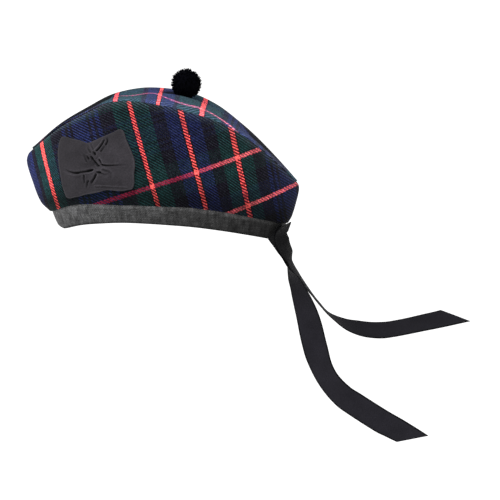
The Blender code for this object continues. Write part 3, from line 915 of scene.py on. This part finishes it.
def cloth_wave(p, size, height):
    """Small unevenness of a cloth surface."""
    return noise.noise(p / size) * height


def build_wall(node, side, look):
    rows = []
    for up in [(1 + t) / 2 for t in lengthwise(UP_STEPS)]:
        row = []
        for t in lengthwise(LONG_STEPS):
            p = wall_point(max(min(t, TIP), -TIP), up, side)
            p.y = side * max(abs(p.y), GAP / 2)
            row.append(p)
        rows.append(row)
    middle = Vector(CROWN_MIDDLE)
    for row, line in zip(rows, normals(rows)):
        for j, (p, way) in enumerate(zip(row, line)):
            out = way if (p - middle).dot(way) > 0 else -way
            free = min(j, LONG_STEPS - j, WAVE_STEPS) / WAVE_STEPS
            row[j] = p + out * cloth_wave(p, *WALL_WAVE) * free
    threads = [[threads_on_wall(p) for p in row] for row in rows]
    folds_and_painted_shade = [[fold_and_painted_shade(p, seam, edge) for p, seam, edge in zip(row, rows[-1], rows[0])] for row in rows]
    name = node + "_cloth"
    mesh = shell(name, rows, CLOTH, {"threads": threads, "fold": folds_and_painted_shade}, away=middle)
    add(name, mesh, look, node)


def fold_and_painted_shade(p, seam, edge):
    """How far a point of a wall is in the fold at its seam, and its painted shade, or below 0 its painted
    light.
    """
    most = mix(DARK_FRONT, DARK_BACK, share_of(p.x, *DARK_BACKWARD))
    low = 1 - share_of((p - edge).length, DARK_FULL, DARK_FROM)
    light = LIGHT_FRONT * share_of(-p.x, *LIGHT_FRONT_OVER) + LIGHT_TIP * share_of(-p.x, *LIGHT_TIP_OVER)
    return 1 - share_of((p - seam).length, 0.0, FOLD_REACH), most * low - light * (1 - low)


def build_top(look):
    """The top panel. Its border folds down over the gap to the walls."""
    up = Vector((0.0, math.sin(ELEVATION), math.cos(ELEVATION)))
    rows, threads, folds_and_painted_shade = [], [], []
    for t in lengthwise(LONG_STEPS):
        t = max(min(t, TIP), -TIP)
        row = []
        for j in range(ACROSS_STEPS + 1):
            across = math.sin(math.pi / 2 * (2 * j / ACROSS_STEPS - 1))
            p = top_point(t, across)
            p.z += cloth_wave(p, *TOP_WAVE) * (1 - across**2)
            row.append((p, 0.0, abs(across) ** FOLD_POWER))
        near, far = row[0][0], row[-1][0]
        drop = smooth(FOLD_DROPS, "drop", near.x) * min(1.0, FOLD_FADE * oval(t))
        downs = [drop * share for share in FOLD_STEPS]
        before = [(turned(near, -1, down), down, 1.0) for down in reversed(downs)]
        whole = before + row + [(turned(far, 1, down), down, 1.0) for down in downs]
        rows.append([p for p, _, _ in whole])
        threads.append([threads_on_top(p, (p - near).dot(up), beyond) for p, beyond, _ in whole])
        folds_and_painted_shade.append([(fold, top_painted_shade(p, fold == 1.0)) for p, _, fold in whole])
    maps = {"threads": threads, "fold": folds_and_painted_shade}
    mesh = shell("top_panel_cloth", rows, TOP_CLOTH, maps, away=Vector((0, 0, 0)))
    add("top_panel_cloth", mesh, look, "top_panel")


def turned(edge, side, down):
    """A point so far down the fold below the panel's border."""
    out = FOLD_OUT * math.sin(min(down, FOLD_TURN) / FOLD_TURN * math.pi / 2)
    return edge + Vector((0, side * out, -down))


def build_band(look):
    """The binding: a flared tape with a rolled rim, which laps up inside the walls."""
    inset = CLOTH + 2 * GAP
    levels = [(up, 0.0) for up in BAND_ROWS] + [(1.0, lap) for lap in LAP_ROWS]
    rows = []
    for up, lap in levels:
        row = []
        for i in range(BAND_STEPS + 1):
            angle = 2 * math.pi * i / BAND_STEPS
            t = -math.cos(angle)
            side = 1 if angle <= math.pi else -1
            x = mix(RIM_HALF_LENGTH * t, EDGE_MIDDLE + (EDGE_HALF_LENGTH - inset) * t, up)
            half_width = mix(RIM_HALF_WIDTH, EDGE_HALF_WIDTH - inset, up) * oval(t)
            z = mix(smooth(STATIONS, "rim", t), smooth(STATIONS, "edge", t), up) + lap
            z += RIM_LIFT * (1 - min(up / RIM_LIFT_UP, 1.0)) ** 2 * bell(t + 1, RIM_LIFT_REACH)
            out = BAND_PUFF * math.sin(math.pi * up) - RIM_ROLL * max(0.0, 1 - up / RIM_ROLL_UP)
            p = Vector((x, side * half_width, z))
            row.append(p + Vector((x, p.y, 0)).normalized() * out)
        rows.append(row)
    run = [0.0]
    for a, b in zip(rows[MEASURED_ROW], rows[MEASURED_ROW][1:]):
        run.append(run[-1] + (b - a).length)
    maps = {"weave": [[(along, up * BAND_HEIGHT + lap) for along in run] for up, lap in levels]}
    mesh = shell("band_cloth", rows, BAND_CLOTH, maps, away=Vector(BAND_MIDDLE), wraps=True)
    add("band_cloth", mesh, look, "band")


# The cockade


def on_left_wall(x, z):
    """The point of the left wall at this length and height, and the way that it faces."""
    t, up = x / EDGE_HALF_LENGTH, 0.5
    for _ in range(WALL_ROUNDS):
        up = share_of(z, smooth(STATIONS, "edge", t), smooth(STATIONS, "seam", t))
        t = 2 * share_of(x, smooth(LEVELS, "front", up), smooth(LEVELS, "back", up)) - 1
        t = min(max(t, -NEAR_TIP), NEAR_TIP)
    along = wall_point(t + STEP, up, -1) - wall_point(t - STEP, up, -1)
    rise = wall_point(t, min(up + STEP, 1.0), -1) - wall_point(t, max(up - STEP, 0.0), -1)
    return wall_point(t, up, -1), along.cross(rise).normalized()


def off_crease(crease, x, z):
    """Distance from a crease, the share of the way along it, and the side of it."""
    best = (1e9, 0.0, 1.0)
    pieces = list(zip(crease.points, crease.points[1:]))
    for k, ((ax, az), (bx, bz)) in enumerate(pieces):
        dx, dz = bx - ax, bz - az
        s = share_of((x - ax) * dx + (z - az) * dz, 0.0, dx * dx + dz * dz)
        qx, qz = x - ax - s * dx, z - az - s * dz
        off = math.hypot(qx, qz)
        if off < best[0]:
            best = (off, (k + s) / len(pieces), 1.0 if dx * qz > dz * qx else -1.0)
    return best


def cockade_face(x, z, share, reach):
    """Height of the face over the wall, the painted shade of its creases there, and the painted highlight of
    its ridges, roll and edge.
    """
    pinch = math.dist((x, z), PINCH_MIDDLE)
    height = COCKADE_LIFT - PINCH_DEPTH * bell(pinch, PINCH_REACH)
    if share < 1:
        height += COCKADE_PUFF * math.sin(math.pi * share**PUFF_SKEW) ** PUFF_ROUND
    size, most = COCKADE_WAVE
    wave = noise.noise(Vector((x / size, z / size, COCKADE_WAVE_PLACE))) * most
    height += wave * min(1.0, WAVE_FADE * (1 - share))
    shade, shine = 0.0, 0.0
    for crease in COCKADE_CREASES:
        off, along, side = off_crease(crease, x, z)
        if off > CREASE_REACHES:
            continue
        fade = (1 - along) ** crease.fade if crease.fade else 1.0
        groove = bell(off, crease.width) * fade
        ridge = crease.ridge * bell(off - RIDGE_OFF * crease.width, RIDGE_WIDTH * crease.width) * fade
        height += ridge * (1.0 if side > 0 else OTHER_RIDGE) - crease.depth * groove
        shade = max(shade, groove * min(1.0, crease.depth / DEEP_CREASE))
        shine = max(shine, ridge * (1.0 if side > 0 else OTHER_SHINE))
    dx, dz = x - ROLL_MIDDLE[0], z - ROLL_MIDDLE[1]
    along = dx * math.cos(ROLL_DIRECTION) + dz * math.sin(ROLL_DIRECTION)
    off = dz * math.cos(ROLL_DIRECTION) - dx * math.sin(ROLL_DIRECTION)
    roll = bell(off, ROLL_HALF_WIDTH) * max(0.0, 1 - (along / ROLL_HALF_LENGTH) ** 2)
    height += ROLL_HEIGHT * roll
    shade *= 1 - ROLL_OVER_SHADE * roll
    selvedge = bell((1 - share) * reach - SELVEDGE_IN, SELVEDGE_WIDTH)
    shine = max(shine * (1 - shade), ROLL_SHINE * roll, SELVEDGE_SHINE * selvedge)
    return max(height, LEAST_HEIGHT), shade, min(shine, 1.0)


def build_cockade(look):
    made = bmesh.new()
    weave = made.loops.layers.uv.new("weave")
    marks = made.loops.layers.uv.new("marks")
    spot = {}
    mx, mz = COCKADE_MIDDLE

    def vert(x, z, height, shade=0.0, shine=0.0):
        at, facing = on_left_wall(mx + x, mz + z)
        new = made.verts.new((at + facing * height) * MM)
        spot[new] = (x, z, shade, shine)
        return new

    centre = vert(0, 0, *cockade_face(0, 0, 0, COCKADE_OUTLINE[0].reach))
    shares = [(i / COCKADE_RINGS, True) for i in range(1, COCKADE_RINGS + 1)]
    shares += [(share, False) for share in BACK_RINGS]
    rings = []
    for share, outer in shares:
        ring = []
        for j in range(COCKADE_SPOKES):
            degrees = 360 * j / COCKADE_SPOKES
            reach = smooth(COCKADE_OUTLINE, "reach", degrees)
            x = share * reach * math.cos(math.radians(degrees))
            z = share * reach * math.sin(math.radians(degrees))
            ring.append(vert(x, z, *(cockade_face(x, z, share, reach) if outer else [BACK_HEIGHT])))
        rings.append(ring)
    back_centre = vert(0, 0, BACK_HEIGHT)

    def face(verts):
        new = made.faces.new(verts)
        a, b = COCKADE_GRAIN
        for loop in new.loops:
            x, z, shade, shine = spot[loop.vert]
            loop[weave].uv = (x * a - z * b, z * a + x * b)
            loop[marks].uv = (shade, shine)

    for j in range(COCKADE_SPOKES):
        k = (j + 1) % COCKADE_SPOKES
        face([centre, rings[0][j], rings[0][k]])
        for a, b in zip(rings, rings[1:]):
            face([a[j], b[j], b[k], a[k]])
        face([rings[-1][k], rings[-1][j], back_centre])
    bmesh.ops.recalc_face_normals(made, faces=made.faces)
    piece = add("cockade_ribbon", mesh_of("cockade_ribbon", made), look, "cockade")


# The toorie


def even_directions(count):
    golden = math.pi * (3 - math.sqrt(5))
    for i in range(count):
        z = 1 - 2 * (i + 0.5) / count
        flat = math.sqrt(1 - z * z)
        yield Vector((flat * math.cos(golden * i), flat * math.sin(golden * i), z))


def strand(made, root, tip, bend, half):
    """One cut end of yarn: a thin tapering prism with a bend in it."""
    along = (tip - root).normalized()
    side = along.orthogonal().normalized()
    other = along.cross(side)
    rings = []
    for share, size in STRAND_STAGES:
        at = root.lerp(tip, share) + bend * share * share
        ring = []
        for k in range(STRAND_SIDES):
            angle = 2 * math.pi / STRAND_SIDES * k
            out = side * math.cos(angle) + other * math.sin(angle)
            ring.append(made.verts.new((at + out * half * size) * MM))
        rings.append(ring)
    for a, b in zip(rings, rings[1:]):
        for k in range(STRAND_SIDES):
            m = (k + 1) % STRAND_SIDES
            made.faces.new((a[k], a[m], b[m], b[k]))
    made.faces.new(rings[-1])
    made.faces.new(tuple(reversed(rings[0])))


def build_toorie(look):
    chance = random.Random(TOORIE_SEED)

    def anywhere(size):
        return Vector([chance.uniform(-size, size) for _ in range(3)])

    made = bmesh.new()
    bmesh.ops.create_icosphere(made, subdivisions=TOORIE_CORE_DETAIL, radius=1.0)
    scale, most = TOORIE_CORE_WAVE
    for vert in made.verts:
        way = vert.co.normalized()
        vert.co = way * (TOORIE_CORE + noise.noise(way * scale) * most) * MM
    for way in even_directions(TOORIE_TUFTS):
        tuft = (way + anywhere(TUFT_JITTER)).normalized()
        reach = TOORIE_TIP + chance.uniform(*TUFT_REACH)
        for _ in range(STRANDS_PER_TUFT):
            spread = anywhere(1)
            root = tuft * (TOORIE_CORE - STRAND_DEPTH) + spread * ROOT_SPREAD
            tip = (tuft + spread * TIP_SPREAD).normalized() * (reach + chance.uniform(*STRAND_REACH))
            bend = anywhere(STRAND_BEND)
            strand(made, root, tip, bend, chance.uniform(*STRAND_HALF))
    mesh = mesh_of("toorie_yarn", made)
    mesh.transform(Matrix.Translation(Vector(TOORIE_MIDDLE) * MM))
    add("toorie_yarn", mesh, look, "toorie")


# The tails


def ribbon_rows(tail):
    """Points of a tail's middle surface with the lengths along and across it, and the tail's length."""
    keyed = table("s x y z turn", *[(i, *row) for i, row in enumerate(tail.rows)])
    last = len(keyed) - 1

    def middle(at):
        return Vector([smooth(keyed, axis, at) for axis in "xyz"])

    size, most = TAIL_WAVE
    made, run = [], 0.0
    before = middle(0.0)
    for i in range(TAIL_STEPS + 1):
        s = last * i / TAIL_STEPS
        along = (middle(min(s + TAIL_STEP, last)) - middle(max(s - TAIL_STEP, 0))).normalized()
        upright = along.cross(Vector((0, 1, 0))).normalized()
        turn = Matrix.Rotation(math.radians(smooth(keyed, "turn", s)), 3, along)
        width_way = turn @ upright
        face = along.cross(width_way)
        at = middle(s)
        run, before = run + (at - before).length, at
        line = []
        for across in lengthwise(TAIL_ACROSS):
            shift = mix(*tail.cut, (1 + across) / 2) * share_of(s / last, CUT_FROM, 1.0)
            shift += mix(*tail.start, (1 + across) / 2) * max(1.0 - s, 0.0)
            p = at + width_way * across * RIBBON_WIDTH / 2 + along * shift
            wave = noise.noise(Vector((run / size, across * TAIL_WAVE_ACROSS, tail.cut[0]))) * most
            line.append((p + face * wave, run + shift, across * RIBBON_WIDTH / 2))
        made.append(line)
    return made, run


def build_tail(tail):
    grid, length = ribbon_rows(tail)
    points = [[p for p, _, _ in line] for line in grid]
    facing = normals(points)
    outer = [[p + n * RIBBON_CLOTH / 2 for p, n in zip(row, line)] for row, line in zip(points, facing)]
    maps = {"weave": [[(along, across) for _, along, across in line] for line in grid]}
    name = tail.name + "_ribbon"
    look = ribbed(tail.name + "_look", tail.colour)
    piece = add(name, shell(name, outer, RIBBON_CLOTH, maps), look, tail.name)


# Stage, light and camera


def build_stage():
    made = bmesh.new()
    bmesh.ops.create_grid(made, x_segments=1, y_segments=1, size=FLOOR_SIZE)
    floor = bpy.data.objects.new("floor", mesh_of("floor", made))
    floor.location = (0, 0, FLOOR_HEIGHT)
    n = Nodes("floor_look")
    n.surface(FLOOR_COLOUR, FLOOR_ROUGHNESS)
    n.feed(n.shader, {"Emission Color": WHITE, "Emission Strength": FLOOR_GLOW})
    floor.data.materials.append(n.material)
    link(floor)


def build_light():
    world = bpy.data.worlds.new("studio")
    world.use_nodes = True
    room = world.node_tree.nodes["Background"].inputs
    room["Color"].default_value = WHITE
    room["Strength"].default_value = ROOM_LIGHT
    bpy.context.scene.world = world
    sun = bpy.data.lights.new("key", "SUN")
    sun.angle = KEY_ANGLE
    sun.energy = KEY_LIGHT
    lamp = bpy.data.objects.new("key", sun)
    lamp.rotation_euler = Vector(KEY_WAY).to_track_quat("-Z", "Y").to_euler()
    link(lamp)


def build_camera():
    camera = bpy.data.cameras.new("camera")
    camera.sensor_width = SENSOR
    camera.lens = SENSOR * DISTANCE / (MM_PER_PIXEL * FRAME_PIXELS)
    holder = bpy.data.objects.new("camera", camera)
    back = Vector((0, -math.cos(ELEVATION), math.sin(ELEVATION)))
    holder.location = (Vector(TARGET) + back * DISTANCE) * MM
    holder.rotation_euler = (-back).to_track_quat("-Z", "Y").to_euler()
    link(holder)
    bpy.context.scene.camera = holder
    bpy.context.scene.view_settings.view_transform = "Standard"


def main():
    build_camera()
    build_stage()
    build_light()
    wall_look = tartan("wall_tartan", WALL_TARTAN)
    build_wall("side_left", -1, wall_look)
    build_wall("side_right", 1, wall_look)
    build_top(tartan("top_tartan", TOP_TARTAN))
    build_band(band_material())
    build_cockade(cockade_material())
    build_toorie(yarn_material())
    for tail in TAILS:
        build_tail(tail)


main()
